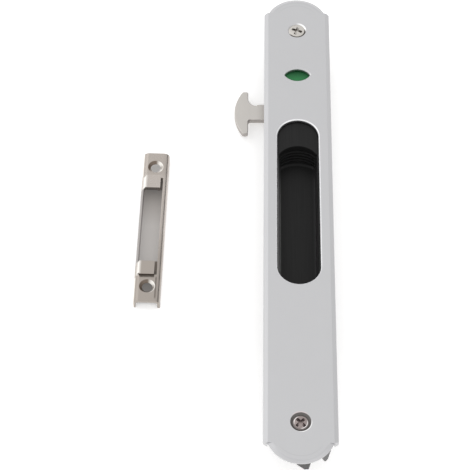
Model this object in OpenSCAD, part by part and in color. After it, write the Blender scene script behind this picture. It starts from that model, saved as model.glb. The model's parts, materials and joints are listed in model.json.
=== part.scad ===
// Sliding patio door lock: a sprung hook lock behind a long face plate,
// with its loose keeper lying beside it.
// The lock lies face up. +Y runs along the face plate to its upper end,
// +X is to the right of the plate and +Z points out of its face.
// The origin is midway between the two fixing screws, on the plane
// where the face plate seats on the door stile.

/* [Face plate] */
// Width of the face plate
plate_w = 28; // [27:0.5:34]
// Overall length of the face plate
plate_len = 225; // [222:0.5:236]
// Height of the plate's middle above the middle of its two screws
plate_rise = 0.7; // [0:0.1:1]
// Thickness of the web of the face plate
web_t = 1.5; // [1.2:0.1:2.4]
// Height of the edge legs behind the web
leg_h = 1.8; // [1.6:0.1:2.2]
// Width of each edge leg
leg_w = 1.6; // [1.2:0.1:2]
// Width of the sloping edge of the face
bevel_w = 1.7; // [0.6:0.1:2.4]
// Drop of the sloping edge of the face
bevel_h = 0.9; // [0.3:0.1:1.1]
// Radius of the rounded ends
dome_r = 13.2; // [12.8:0.1:13.4]
// Height of each rounded end above its shoulders
dome_rise = 7.6; // [6.5:0.1:8.5]
// Width of the sloping corner of each shoulder
shoulder_w = 2; // [1:0.1:2.6]
// Drop of the sloping corner of each shoulder
shoulder_h = 1.3; // [0.6:0.1:2]

/* [Window and indicator] */
// Width of the window over the finger scoop
window_w = 17; // [15.4:0.2:17]
// Length of the window
window_len = 80.5; // [76:0.5:84]
// Height of the window's centre above the middle of the plate
window_y = 5.9; // [4:0.1:7]
// Radius of the window's round ends
window_end_r = 8.5; // [8.5:0.1:9.5]
// Width of the chamfer round the window and the indicator
rim_w = 0.45; // [0.1:0.05:0.6]
// Width of the lens-shaped indicator opening
lens_w = 10.7; // [8:0.1:11.4]
// Height of the indicator opening
lens_h = 6.3; // [4:0.1:7]
// Height of the indicator opening above the middle of the plate
lens_y = 70.5; // [70:0.1:72]

/* [Fixing screws] */
// Distance between the two fixing screws
screw_spacing = 190; // [189:0.5:198]
// Radius of a fixing screw's thread
shank_r = 2; // [1.5:0.1:2.2]
// Radius of the screw seat at the face
seat_r = 3.9; // [3.6:0.1:4.6]
// Radius of the upper screw's head
upper_head_r = 3.55; // [3.3:0.05:3.85]
// Radius of the lower screw's head
lower_head_r = 3.15; // [3:0.05:3.8]
// Height of the raised crown of a screw head
crown_h = 0.45; // [0.2:0.05:0.7]
// Length of a fixing screw below its seat
screw_len = 15; // [12:0.5:15]
// Length of the cross recess
recess_len = 4.4; // [3:0.1:4.4]
// Width of an arm of the cross recess
recess_w = 0.8; // [0.6:0.1:1.1]
// Depth of the cross recess
recess_depth = 1.2; // [0.8:0.1:1.5]
// Turn of the upper screw's cross
upper_turn = 70; // [0:5:90]
// Turn of the lower screw's cross
lower_turn = 45; // [0:5:90]

/* [Slide handle] */
// Stroke of the slide
travel = 12; // [11:0.2:12.4]
// Thickness of the handle's flange behind the web
flange_t = 1.9; // [1.5:0.1:2.4]
// Depth of the finger scoop below the flange's face
scoop_depth = 9.1; // [8:0.1:10]
// Width of the scoop at its mouth
scoop_w = 15.4; // [14:0.1:15.6]
// Draft of the scoop's long walls, on each side
scoop_draft = 0.4; // [0.1:0.1:1]
// Chamfer along the scoop's mouth
scoop_edge = 0.4; // [0.1:0.1:0.5]
// Height of the scoop's upper end above the middle of the plate
scoop_top = 33.7; // [31:0.1:34.2]
// Radius of the scoop's upper end wall
scoop_end_r = 9.2; // [8.8:0.1:10.5]
// Lean of the scoop's upper end wall
scoop_lean = 11; // [5:1:16]
// Thickness of the scoop's walls
scoop_wall = 1; // [0.8:0.1:1.2]
// Thickness of the scoop's floor
scoop_floor_t = 1.2; // [0.9:0.1:1.6]
// Number of grip grooves on the upper end wall
grip_count = 5; // [3:1:6]
// Depth of a grip groove
grip_depth = 0.4; // [0.2:0.05:0.6]
// Cover of the flange past the window's edges at the end of the stroke
flange_cover = 2; // [1:0.1:2.4]
// Width of the indicator tongue
tongue_w = 15; // [14:0.2:16]
// Length of an indicator tile
tile_len = 10; // [8:0.2:10.4]
// Width of an indicator tile
tile_w = 12; // [11.6:0.1:13]
// Thickness of an indicator tile
tile_t = 0.5; // [0.3:0.05:0.8]

/* [Hook and drive] */
// Height of the hook's pivot above the middle of the plate
hook_y = 60.7; // [60:0.1:61.2]
// Reach of the hook past the left edge of the plate
hook_reach = 12.5; // [10:0.1:13]
// Thickness of the hook
hook_t = 2.5; // [2:0.1:3.2]
// Width across the hook's two barbs
head_span = 22.4; // [20:0.1:23]
// Radius of the hook's nose
nose_r = 19.5; // [17:0.5:24]
// Thickness of the head behind the nose
head_t = 5.8; // [5:0.1:6.5]
// Width of the hook's neck
neck_w = 7.6; // [7:0.1:8.6]
// Extra width of the neck's root, on its upper side
neck_step = 0.65; // [0.2:0.05:0.8]
// Radius of the curve behind the upper barb
barb_curve_r = 3.8; // [3:0.1:4.8]
// Radius of the corner behind the lower barb
barb_corner_r = 1.2; // [0.5:0.1:1.5]
// Radius of the blunt tip of a barb
barb_tip_r = 0.8; // [0.3:0.1:1]
// Radius of the pivot pin
pivot_r = 2.5; // [2:0.1:2.6]
// Wall of the bush on the pivot pin
bush_wall = 0.8; // [0.6:0.1:0.9]
// Radius of the drive pin
drive_pin_r = 1.5; // [1.2:0.1:1.6]
// Wall of the hook's tail around its cam slot
tail_wall = 1.5; // [1.2:0.1:1.6]
// Thickness of the drive bar
bar_t = 1.5; // [1.4:0.1:2]
// Radius of the retaining clip
clip_r = 4; // [3.5:0.1:4.2]
// Thickness of the retaining clip and the pivot washer
washer_t = 0.6; // [0.4:0.1:0.8]

/* [Return spring] */
// Radius to the middle of the spring's wire
coil_r = 2.4; // [2.2:0.1:2.6]
// Diameter of the spring's wire
wire_d = 0.6; // [0.4:0.05:0.7]
// Number of turns
turns = 8; // [6:1:9]
// Radius of the spring's guide rod
rod_r = 1.4; // [1.1:0.1:1.5]
// Thickness of the block that the spring pushes on
end_block_t = 2.5; // [2:0.1:3]

/* [Case] */
// Thickness of the case's sheet
case_t = 1.2; // [1:0.1:1.3]
// Radius of the case's back edges, outside
case_edge_r = 2; // [1.6:0.1:3]
// Height of the inner face of the case's upper end wall
case_top = 88.5; // [88.5:0.1:89.5]
// Height of a guide rail
rail_h = 3; // [2.4:0.1:4]
// Radius of a case rivet
rivet_r = 1; // [0.8:0.1:1.1]
// Distance of the outer rivets from the ends of the guide rails
rivet_inset = 12; // [6:0.5:20]
// Length of the rubber bumper below the handle
bumper_len = 5.5; // [4:0.1:7]
// Width of a spur at the lower end, where it leaves the lug
spur_w = 5.2; // [3.6:0.1:5.4]
// Width of a spur's blunt tip
spur_tip_w = 1.6; // [1:0.1:2.2]
// Shift of the middle spur's tip to one side
spur_shift = 1.2; // [0:0.1:1.6]
// Depth of the middle spur below the web
spur_depth = 5.6; // [3.5:0.1:6]
// Depth of the side spur below the web
side_spur_depth = 7; // [4:0.1:8]
// Turn of the middle spur round the lower end
spur_turn = 4.5; // [0:0.5:10]
// Turn of the side spur round the lower end
side_spur_turn = 51; // [45:1:56]
// Thickness of a spur
spur_t = 1.2; // [0.8:0.1:1.5]

/* [Keeper] */
// Length of the keeper
keeper_len = 73.2; // [71:0.2:80]
// Width of the keeper
keeper_w = 10.9; // [10.6:0.1:13]
// Height of the keeper, without its lugs
keeper_h = 5; // [4.6:0.1:6]
// Thickness of the keeper's sheet
keeper_t = 1.1; // [0.9:0.1:1.3]
// Radius of the keeper's bent edges, outside
keeper_edge_r = 2.4; // [2:0.1:2.8]
// Length of the keeper's window
keeper_window = 36.2; // [34:0.2:38]
// Width of the rail at the right of the keeper's window
keeper_rail_w = 2; // [1.5:0.1:2.4]
// Length of a raised lug
keeper_lug_len = 5.8; // [5:0.1:6.4]
// Rise of a lug above the keeper's tabs
keeper_lug_rise = 1.2; // [0.8:0.1:1.6]
// Distance between the keeper's two screw holes
keeper_hole_spacing = 58.9; // [58:0.1:60]
// Radius of a keeper screw hole
keeper_hole_r = 2.1; // [1.9:0.1:2.5]
// Radius of a keeper countersink at the face
keeper_sink_r = 3; // [2.7:0.1:3.2]
// Distance from the lock's centreline to the keeper's
keeper_x = 59.7; // [50:0.1:70]
// Height of the keeper's centre above the middle of the plate
keeper_y = 1.6; // [-20:0.1:20]
// Lean of the keeper as it lies beside the lock
keeper_lean = 1.2; // [0:0.1:6]

/* [Hidden] */

$fn = 64;
// Overrun of a cut past the faces that it opens
cut = 1;
// Gap between pieces that slide past each other
slide_gap = 0.3;
// Step from a fixing screw's thread in to its neck
neck_in = 0.25;
// Height of the rivet heads outside the case
rivet_head_t = 0.4;
// Gap between the hook and what it turns on or under
turn_gap = 0.25;
// Radial clearance of a shaft in its bore
run_fit = 0.05;
// Radial clearance of the drive pin in the hook's cam slot
cam_fit = 0.15;
// Room left round the hook's sweep in the case's two long walls
sweep_gap = 0.5;
// Swing of the hook over the stroke
swing = 90;

// Levels, from the face down to the back of the case
web_back = leg_h;
face_z = leg_h + web_t;
flange_top = web_back - slide_gap;
flange_bot = flange_top - flange_t;
scoop_floor = flange_top - scoop_depth;
handle_bot = scoop_floor - scoop_floor_t;
bar_bot = handle_bot - bar_t;
hook_top = bar_bot - slide_gap;
hook_bot = hook_top - hook_t;
case_floor = hook_bot - turn_gap - washer_t;
case_back = case_floor - case_t;

// The plate's outline
plate_half = plate_w / 2;
dome_y = plate_len / 2 - dome_r;
shoulder_top = plate_len / 2 - dome_rise;

// The case and its rivet heads lie between the legs of the plate
case_half = plate_half - leg_w - rivet_head_t;
case_half_in = case_half - case_t;

// The window and the handle
window_top = window_y + window_len / 2;
window_bot = window_y - window_len / 2;
flange_half = case_half_in - slide_gap;
flange_end = window_top + flange_cover;
scoop_bot = window_bot - travel - flange_cover;
trough_bot = scoop_bot - scoop_wall;
flange_start = trough_bot - scoop_wall;
trough_half = scoop_w / 2 + scoop_wall;
block_top = hook_y - travel - clip_r - cut;
tongue_end = lens_y + tile_len / 2 + tile_t;
scoop_len = scoop_top - scoop_bot;

// The drive: the pin crosses the pivot's level at half stroke, so that
// the hook turns evenly with the slide
pin_x = travel / 2;
pin_y = hook_y - travel / 2;
hook_tip = plate_half + hook_reach;
bush_r = pivot_r + run_fit + bush_wall;
cam_r = drive_pin_r + cam_fit;
cam_far = pin_x * sqrt(2);
tail_mid = (pin_x + cam_far) / 2;
tail_r = (cam_far - pin_x) / 2 + cam_r + tail_wall;
bar_slot_half = pivot_r + slide_gap;
bar_left = -bar_slot_half - 2 * bar_t;
bar_right = pin_x + drive_pin_r + bar_t;
bar_start = scoop_top - slide_gap;
bar_screw_y = (bar_start + block_top) / 2;
bar_screw_x = 4.2;
bar_screw_r = 1.1;
bar_screw_len = 5;
clip_bot = handle_bot + slide_gap;
clip_groove_depth = 0.5;
clip_groove_r = pivot_r - clip_groove_depth;
pivot_top = clip_bot + 2 * washer_t;
washer_rim = 1.5;
washer_r = bush_r + washer_rim;

// The spring lies along Y between the bar's tab and the end block
tab_y = hook_y + clip_r + cut;
tab_t = bar_t;
tab_rim = 1;
tab_half = coil_r + tab_rim;
spring_r = coil_r + wire_d / 2;
spring_z = flange_bot - slide_gap - tab_half;
rod_hole_r = rod_r + slide_gap;
end_block_y = case_top - end_block_t;
spring_start = tab_y + tab_t + run_fit;
spring_len = end_block_y - run_fit - spring_start;
rod_start = tab_y - tab_t;
end_block_half = 6;

// The case, its lugs and its rails
case_bot = flange_start - slide_gap - bumper_len;
lug_bot = web_back - case_t;
lug_r = dome_r - spur_t / 2;
// A fixing screw's thread starts between the lug and the stile
thread_top = lug_bot / 2;
screw_hole_r = shank_r + run_fit;
rail_top = flange_bot - slide_gap;
rail_in = trough_half + slide_gap + run_fit;
rail_w = case_half_in - rail_in;
rail_end = tab_y - slide_gap;
rivet_head_r = 2 * rivet_r;
rivet_y = [case_bot + rivet_inset, window_y, rail_end - rivet_inset];
// The hook's nose crosses the case wall at this depth below its pivot
sweep_low = sqrt(pow(hook_tip, 2) - pow(case_half_in, 2)) + sweep_gap;
sweep_high = neck_w / 2 + neck_step + sweep_gap;

// The keeper lies on the same surface as the case
keeper_back = case_back;
keeper_top = keeper_back + keeper_h;
keeper_inner_half = keeper_w / 2 - keeper_t;
keeper_window_right = keeper_w / 2 - keeper_rail_w;
lug_slope_w = 1.8;
lug_slit_w = 0.9;

/* Shared shapes */

// A slot with round ends along Y, centred on the origin
module long_slot(w, len, h) {
    for (side = [-1, 1])
        translate([0, side * (len - w) / 2, 0])
            cylinder(d = w, h = h);
    translate([-w / 2, -(len - w) / 2, 0])
        cube([w, len - w, h]);
}

// A lens with pointed ends along X, made of two arcs; grow widens its top
module lens(w, h, depth, grow = 0) {
    arc_r = (pow(w / 2, 2) + pow(h / 2, 2)) / h;
    intersection_for (side = [-1, 1])
        translate([0, side * (arc_r - h / 2), 0])
            cylinder(r1 = arc_r, r2 = arc_r + grow, h = depth);
}

// A prism along Y from a section drawn in X and Z
module along_y(y0, y1) {
    translate([0, y1, 0])
        rotate([90, 0, 0])
            linear_extrude(y1 - y0)
                children();
}

// A quarter of filling between two edges that meet at the origin
module fillet_corner(r) {
    difference() {
        square(r);
        translate([r, r])
            circle(r);
    }
}

/* Face plate and its screws */

module plate_outline() {
    square([plate_w, 2 * (shoulder_top - shoulder_h)], center = true);
    for (side = [-1, 1])
        scale([1, side]) {
            translate([0, dome_y])
                circle(dome_r);
            translate([0, shoulder_top - shoulder_h])
                polygon([
                    [-plate_half, 0], [plate_half, 0],
                    [plate_half - shoulder_w, shoulder_h],
                    [shoulder_w - plate_half, shoulder_h]
                ]);
        }
}

module plate_section() {
    difference() {
        polygon([
            [-plate_half, 0], [plate_half, 0], [plate_half, face_z - bevel_h],
            [plate_half - bevel_w, face_z], [bevel_w - plate_half, face_z],
            [-plate_half, face_z - bevel_h]
        ]);
        translate([leg_w - plate_half, -cut])
            square([plate_w - 2 * leg_w, cut + leg_h]);
    }
}

// What is cut from the face round a rounded end
module dome_bevel() {
    intersection() {
        translate([0, dome_y, 0])
            rotate_extrude()
                polygon([
                    [dome_r - bevel_w, face_z], [dome_r + cut, face_z - bevel_h * (1 + cut / bevel_w)],
                    [dome_r + cut, face_z + cut], [dome_r - bevel_w, face_z + cut]
                ]);
        translate([-plate_w, shoulder_top - shoulder_h / 2, 0])
            cube([2 * plate_w, plate_w, face_z + 2 * cut]);
    }
}

// The room of the window, its top wider all round by grow; the long sides
// cut off the round ends, which leaves slight corners
module window_room(h, grow = 0) {
    end_y = window_len / 2 - window_end_r;
    side = window_w / 2;
    translate([0, window_y, 0])
        intersection() {
            along_y(-window_len, window_len)
                polygon([[-side, 0], [side, 0], [side + grow, h], [-side - grow, h]]);
            union() {
                translate([-window_w, -end_y, 0])
                    cube([2 * window_w, 2 * end_y, h]);
                for (end = [-end_y, end_y])
                    translate([0, end, 0])
                        cylinder(r1 = window_end_r, r2 = window_end_r + grow, h = h);
            }
        }
}

// The seat of a fixing screw, through the web and the lug behind it
module screw_seat() {
    translate([0, 0, face_z - (seat_r - screw_hole_r)])
        cylinder(r1 = screw_hole_r, r2 = seat_r, h = seat_r - screw_hole_r);
    translate([0, 0, lug_bot - cut])
        cylinder(r = screw_hole_r, h = face_z - lug_bot);
    translate([0, 0, face_z])
        cylinder(r = seat_r, h = cut);
}

module at_screws() {
    for (side = [-1, 1])
        translate([0, side * screw_spacing / 2, 0])
            children();
}

module face_plate() {
    color([0.79, 0.79, 0.8])
    difference() {
        intersection() {
            along_y(-plate_len, plate_len)
                plate_section();
            translate([0, plate_rise, 0])
                linear_extrude(face_z + cut)
                    plate_outline();
        }
        translate([0, plate_rise, 0])
            for (side = [0, 1])
                mirror([0, side, 0])
                    dome_bevel();
        translate([0, 0, -cut])
            window_room(face_z + 2 * cut);
        translate([0, 0, face_z - rim_w])
            window_room(rim_w + run_fit, rim_w + run_fit);
        translate([0, lens_y, 0])
            lens(lens_w, lens_h, face_z + cut);
        translate([0, lens_y, face_z - rim_w])
            lens(lens_w, lens_h, rim_w + run_fit, rim_w + run_fit);
        at_screws()
            screw_seat();
    }
}

// A countersunk screw with a raised crown, a cross recess and a neck that
// is thinner than its thread; a smaller head sits deeper in the same seat
module fixing_screw(head_r, turn) {
    rim_z = face_z - (seat_r - head_r);
    neck_r = shank_r - neck_in;
    crown_r = (pow(head_r, 2) + pow(crown_h, 2)) / (2 * crown_h);
    tip_z = face_z - screw_len;
    difference() {
        union() {
            translate([0, 0, tip_z])
                cylinder(r1 = shank_r / 2, r2 = shank_r, h = shank_r);
            translate([0, 0, tip_z + shank_r])
                cylinder(r = shank_r, h = thread_top - tip_z - shank_r);
            cylinder(r = neck_r, h = rim_z);
            translate([0, 0, rim_z - (head_r - neck_r)])
                cylinder(r1 = neck_r, r2 = head_r, h = head_r - neck_r);
            intersection() {
                translate([0, 0, rim_z + crown_h - crown_r])
                    sphere(crown_r, $fn = 128);
                translate([0, 0, rim_z])
                    cylinder(r = head_r, h = crown_h);
            }
        }
        for (arm = [0, 90])
            rotate([0, 0, turn + arm])
                translate([-recess_len / 2, -recess_w / 2, rim_z + crown_h - recess_depth])
                    cube([recess_len, recess_w, recess_depth + cut]);
    }
}

module face_screw_top() {
    color([0.72, 0.7, 0.67])
    translate([0, screw_spacing / 2, 0])
        fixing_screw(upper_head_r, upper_turn);
}

module face_screw_bottom() {
    color([0.62, 0.58, 0.54])
    translate([0, -screw_spacing / 2, 0])
        fixing_screw(lower_head_r, lower_turn);
}

/* Case and what is fixed in it */

// A square-topped section with round lower corners
module case_outline(half, bottom, top, r) {
    translate([-half, bottom + r])
        square([2 * half, top - bottom - r]);
    translate([r - half, bottom])
        square([2 * (half - r), r + run_fit]);
    for (side = [-1, 1])
        translate([side * (half - r), bottom + r])
            circle(r);
}

// An end lug: it lies against the web, between the plate's legs, and ends
// just inside the dome, whose centre is at end_y
module end_lug(start, end_y) {
    difference() {
        intersection() {
            union() {
                translate([-case_half, start, lug_bot])
                    cube([2 * case_half, end_y - start, case_t]);
                translate([0, end_y, lug_bot])
                    cylinder(r = lug_r, h = case_t);
            }
            translate([-case_half, start, lug_bot])
                cube([2 * case_half, plate_len, case_t]);
        }
        translate([0, screw_spacing / 2, 0])
            screw_seat();
    }
}

// A spur bent down from the lower lug's rim, its tip shifted to one side
module spur(depth, shift) {
    half = spur_w / 2;
    translate([0, -lug_r + spur_t, web_back])
        rotate([90, 0, 0])
            linear_extrude(spur_t)
                polygon([
                    [-half, -case_t], [-half, 0], [half, 0], [half, -case_t],
                    [shift + spur_tip_w / 2, -depth], [shift - spur_tip_w / 2, -depth]
                ]);
}

module lock_case() {
    color([0.45, 0.46, 0.47])
    difference() {
        union() {
            difference() {
                along_y(case_bot - case_t, case_top + case_t)
                    case_outline(case_half, case_back, web_back, case_edge_r);
                along_y(case_bot, case_top)
                    case_outline(case_half_in, case_floor, web_back + cut, case_edge_r - case_t);
            }
            end_lug(case_top + run_fit, dome_y + plate_rise);
            mirror([0, 1, 0])
                end_lug(-case_bot + run_fit, dome_y - plate_rise);
            translate([0, plate_rise - dome_y, 0]) {
                rotate([0, 0, spur_turn])
                    spur(spur_depth, spur_shift);
                rotate([0, 0, side_spur_turn])
                    spur(side_spur_depth, 0);
            }
        }
        translate([-case_half - cut, hook_y - sweep_low, hook_bot - sweep_gap])
            cube([2 * (case_half + cut), sweep_low + sweep_high, hook_t + 2 * sweep_gap]);
        translate([0, hook_y, case_back - cut])
            cylinder(r = pivot_r - case_t / 2, h = case_t + 2 * cut);
        translate([0, case_top - cut, spring_z])
            rotate([-90, 0, 0])
                cylinder(r = rod_r, h = case_t + 2 * cut);
        for (side = [-1, 1], y = rivet_y)
            translate([side * case_half_in, y, rail_top - rail_h / 2])
                rotate([0, side * 90, 0])
                    translate([0, 0, -cut])
                        cylinder(r = rivet_r, h = case_t + 2 * cut);
    }
}

module guide_rail() {
    difference() {
        along_y(case_bot, rail_end)
            polygon([
                [rail_in, rail_top], [case_half_in, rail_top], [case_half_in, rail_top - rail_h],
                [rail_in + rail_w / 3, rail_top - rail_h], [rail_in, rail_top - 2 * rail_h / 3]
            ]);
        for (y = rivet_y)
            translate([rail_in - cut, y, rail_top - rail_h / 2])
                rotate([0, 90, 0])
                    cylinder(r = rivet_r, h = rail_w + 2 * cut);
    }
}

module guide_rail_left() {
    color([0.86, 0.86, 0.82])
    mirror([1, 0, 0])
        guide_rail();
}

module guide_rail_right() {
    color([0.86, 0.86, 0.82])
    guide_rail();
}

module case_rivets() {
    color([0.66, 0.66, 0.67])
    for (side = [-1, 1], y = rivet_y)
        translate([0, y, rail_top - rail_h / 2])
            rotate([0, side * 90, 0]) {
                translate([0, 0, rail_in])
                    cylinder(r = rivet_r, h = case_half - rail_in);
                translate([0, 0, case_half])
                    cylinder(r = rivet_head_r, h = rivet_head_t);
            }
}

// The shouldered pin that the hook turns on, riveted flush in the case
module pivot_pin() {
    color([0.7, 0.71, 0.73])
    translate([0, hook_y, 0]) {
        translate([0, 0, case_back])
            cylinder(r = pivot_r - case_t / 2, h = case_t);
        translate([0, 0, case_floor])
            cylinder(r = pivot_r, h = clip_bot - case_floor);
        translate([0, 0, clip_bot])
            cylinder(r = clip_groove_r, h = washer_t);
        translate([0, 0, clip_bot + washer_t])
            cylinder(r = pivot_r, h = pivot_top - clip_bot - washer_t);
    }
}

module pivot_washer() {
    color([0.78, 0.72, 0.5])
    translate([0, hook_y, case_floor])
        difference() {
            cylinder(r = washer_r, h = washer_t);
            translate([0, 0, -cut])
                cylinder(r = pivot_r + run_fit, h = washer_t + 2 * cut);
        }
}

// A snap ring with one open side
module pivot_clip() {
    gap_w = 2 * clip_groove_r - run_fit;
    color([0.3, 0.3, 0.32])
    translate([0, hook_y, clip_bot])
        difference() {
            cylinder(r = clip_r, h = washer_t);
            translate([0, 0, -cut])
                cylinder(r = clip_groove_r, h = washer_t + 2 * cut);
            translate([0, -gap_w / 2, -cut])
                cube([clip_r + cut, gap_w, washer_t + 2 * cut]);
        }
}

module end_block() {
    color([0.86, 0.86, 0.82])
    difference() {
        translate([-end_block_half, end_block_y, case_floor])
            cube([2 * end_block_half, end_block_t, rail_top - case_floor]);
        translate([0, end_block_y - cut, spring_z])
            rotate([-90, 0, 0])
                cylinder(r = rod_r, h = end_block_t + 2 * cut);
    }
}

// The rod inside the return spring, headed outside the end wall
module spring_rod() {
    color([0.7, 0.71, 0.73])
    translate([0, 0, spring_z])
        rotate([-90, 0, 0]) {
            translate([0, 0, rod_start])
                cylinder(r = rod_r, h = case_top + case_t - rod_start);
            translate([0, 0, case_top + case_t])
                cylinder(r = rod_r + rivet_r, h = washer_t);
        }
}

module rubber_bumper() {
    color([0.1, 0.1, 0.11])
    along_y(case_bot, case_bot + bumper_len)
        polygon([
            [-end_block_half, flange_top], [end_block_half, flange_top],
            [end_block_half - cut, handle_bot], [cut - end_block_half, handle_bot]
        ]);
}

/* Slide */

// Carries a shape from the leaning axis of the scoop's upper end wall
module on_end_wall_axis() {
    translate([0, scoop_top - scoop_end_r, flange_top])
        rotate([-scoop_lean, 0, 0])
            children();
}

// The room of the finger scoop, with grip grooves round its upper end
module scoop_room() {
    deep = scoop_depth / cos(scoop_lean);
    pitch = deep / (grip_count + 1);
    floor_half = scoop_w / 2 - scoop_draft;
    intersection() {
        along_y(scoop_bot, scoop_top + scoop_end_r)
            polygon([
                [-floor_half, scoop_floor], [floor_half, scoop_floor],
                [scoop_w / 2, flange_top - scoop_edge], [scoop_w / 2 + scoop_edge, flange_top],
                [scoop_w / 2 + scoop_edge, flange_top + cut], [-scoop_w / 2 - scoop_edge, flange_top + cut],
                [-scoop_w / 2 - scoop_edge, flange_top], [-scoop_w / 2, flange_top - scoop_edge]
            ]);
        on_end_wall_axis() {
            translate([0, 0, -2 * deep])
                cylinder(r = scoop_end_r, h = 3 * deep);
            for (i = [1 : grip_count])
                translate([0, 0, -i * pitch])
                    cylinder(r = scoop_end_r + grip_depth, h = pitch / 2);
            translate([-scoop_w, -2 * scoop_len, -2 * deep])
                cube([2 * scoop_w, 2 * scoop_len, 3 * deep]);
        }
    }
}

module tile_pocket(y) {
    translate([-tile_w / 2, y - tile_len / 2, flange_top - tile_t])
        cube([tile_w, tile_len, tile_t + cut]);
}

module slide_handle() {
    color([0.13, 0.13, 0.13])
    difference() {
        union() {
            translate([-flange_half, flange_start, flange_bot])
                cube([2 * flange_half, flange_end - flange_start, flange_t]);
            translate([-tongue_w / 2, flange_end - cut, flange_bot])
                cube([tongue_w, tongue_end - flange_end + cut, flange_t]);
            translate([-trough_half, trough_bot, handle_bot])
                cube([2 * trough_half, block_top - trough_bot, flange_top - handle_bot]);
        }
        scoop_room();
        tile_pocket(lens_y);
        tile_pocket(lens_y - travel);
        for (side = [-1, 1])
            translate([side * bar_screw_x, bar_screw_y, handle_bot - cut])
                cylinder(r = bar_screw_r, h = bar_screw_len - bar_t + cut);
    }
}

module indicator_tile(y) {
    translate([-tile_w / 2, y - tile_len / 2, flange_top - tile_t])
        cube([tile_w, tile_len, tile_t]);
}

module indicator_green() {
    color([0.1, 0.45, 0.22])
    indicator_tile(lens_y);
}

module indicator_red() {
    color([0.7, 0.1, 0.08])
    indicator_tile(lens_y - travel);
}

module bar_screw_shape(extra) {
    head_r = bar_screw_r + bar_t - 2 * run_fit;
    translate([0, 0, bar_bot - extra])
        cylinder(r1 = head_r + extra, r2 = bar_screw_r, h = head_r - bar_screw_r + extra);
    translate([0, 0, bar_bot])
        cylinder(r = bar_screw_r, h = bar_screw_len);
}

// The steel bar under the handle: slotted past the pivot pin, with the
// drive pin beside the slot and a tab turned up for the return spring
module drive_bar() {
    slot_len = travel + 2 * bar_slot_half;
    color([0.6, 0.61, 0.62])
    difference() {
        union() {
            translate([bar_left, bar_start, bar_bot])
                cube([bar_right - bar_left, tab_y + tab_t - bar_start, bar_t]);
            translate([-tab_half, tab_y, handle_bot - cut])
                cube([2 * tab_half, tab_t, rail_top - handle_bot + cut]);
        }
        translate([0, hook_y - travel / 2, bar_bot - cut])
            long_slot(2 * bar_slot_half, slot_len, bar_t + 2 * cut);
        translate([pin_x, pin_y, bar_bot - cut])
            cylinder(r = drive_pin_r, h = bar_t + 2 * cut);
        for (side = [-1, 1])
            translate([side * bar_screw_x, bar_screw_y, 0])
                bar_screw_shape(cut);
        translate([0, tab_y - cut, spring_z])
            rotate([-90, 0, 0])
                cylinder(r = rod_hole_r, h = tab_t + 2 * cut);
    }
}

module bar_screws() {
    color([0.7, 0.71, 0.73])
    for (side = [-1, 1])
        translate([side * bar_screw_x, bar_screw_y, 0])
            bar_screw_shape(0);
}

module drive_pin() {
    color([0.7, 0.71, 0.73])
    translate([pin_x, pin_y, hook_bot + turn_gap])
        cylinder(r = drive_pin_r, h = handle_bot - hook_bot - turn_gap);
}

/* Return spring */

// Share of the spring's length reached after a share of its turns, with
// the first and the last turn wound close
function coil_share(t, closed, span) =
    t < closed ? t / closed * span
    : t > 1 - closed ? 1 - (1 - t) / closed * span
    : span + (t - closed) / (1 - 2 * closed) * (1 - 2 * span);

module return_spring() {
    steps = 18 * turns;
    sides = 6;
    wire_r = wire_d / 2;
    closed = 1 / turns;
    run = spring_len - wire_d;
    span = wire_d / run;
    points = [
        for (i = [0 : steps], k = [0 : sides - 1])
            let (
                a = 360 * turns * i / steps,
                b = 360 * k / sides,
                r = coil_r + wire_r * cos(b)
            )
            [
                r * cos(a),
                spring_start + wire_r + run * coil_share(i / steps, closed, span) + wire_r * sin(b),
                r * sin(a)
            ]
    ];
    faces = concat(
        [[for (k = [0 : sides - 1]) k]],
        [[for (k = [sides - 1 : -1 : 0]) steps * sides + k]],
        [
            for (i = [0 : steps - 1], k = [0 : sides - 1])
                let (n = (k + 1) % sides)
                [i * sides + k, (i + 1) * sides + k, (i + 1) * sides + n, i * sides + n]
        ]
    );
    color([0.74, 0.75, 0.76])
    translate([0, 0, spring_z])
        polyhedron(points, faces);
}

/* Hook */

// The pin's centre in the hook's own frame after a share t of the stroke
function cam_point(t) =
    let (y = (2 * t - 1) * pin_x, a = -swing * t)
    [pin_x * cos(a) - y * sin(a), pin_x * sin(a) + y * cos(a)];

// The edge of the cam slot, offset from the pin's path to its outside
function cam_edge(t) =
    let (
        step = 0.001,
        along = cam_point(t + step) - cam_point(t - step)
    )
    cam_point(t) + cam_r * [-along[1], along[0]] / norm(along);

module cam_slot() {
    samples = 32;
    polygon([for (i = [0 : samples]) cam_edge(i / samples)]);
    translate(cam_point(0))
        circle(cam_r);
}

// The hook about its pivot at rest, with its nose to the left
module hook_outline() {
    head_back = head_t - hook_tip;
    difference() {
        union() {
            intersection() {
                translate([nose_r - hook_tip, 0])
                    circle(nose_r, $fn = 128);
                translate([-hook_tip, -head_span / 2])
                    square([head_t, head_span]);
            }
            translate([head_back - cut, -neck_w / 2])
                square([cut - head_back, neck_w]);
            translate([head_back + barb_curve_r, 0])
                square([-head_back - barb_curve_r, neck_w / 2 + neck_step]);
            translate([head_back, neck_w / 2])
                fillet_corner(barb_curve_r);
            translate([head_back, -neck_w / 2])
                scale([1, -1])
                    fillet_corner(barb_corner_r);
            circle(neck_w / 2 + 2 * neck_step + bush_wall);
            rotate(-45)
                translate([tail_mid, 0])
                    circle(tail_r);
        }
        circle(bush_r);
        cam_slot();
        for (side = [-1, 1])
            translate([head_back, side * head_span / 2])
                scale([-1, -side])
                    fillet_corner(barb_tip_r);
    }
}

module hook() {
    color([0.77, 0.76, 0.74])
    translate([0, hook_y, hook_bot])
        linear_extrude(hook_t)
            hook_outline();
}

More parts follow.
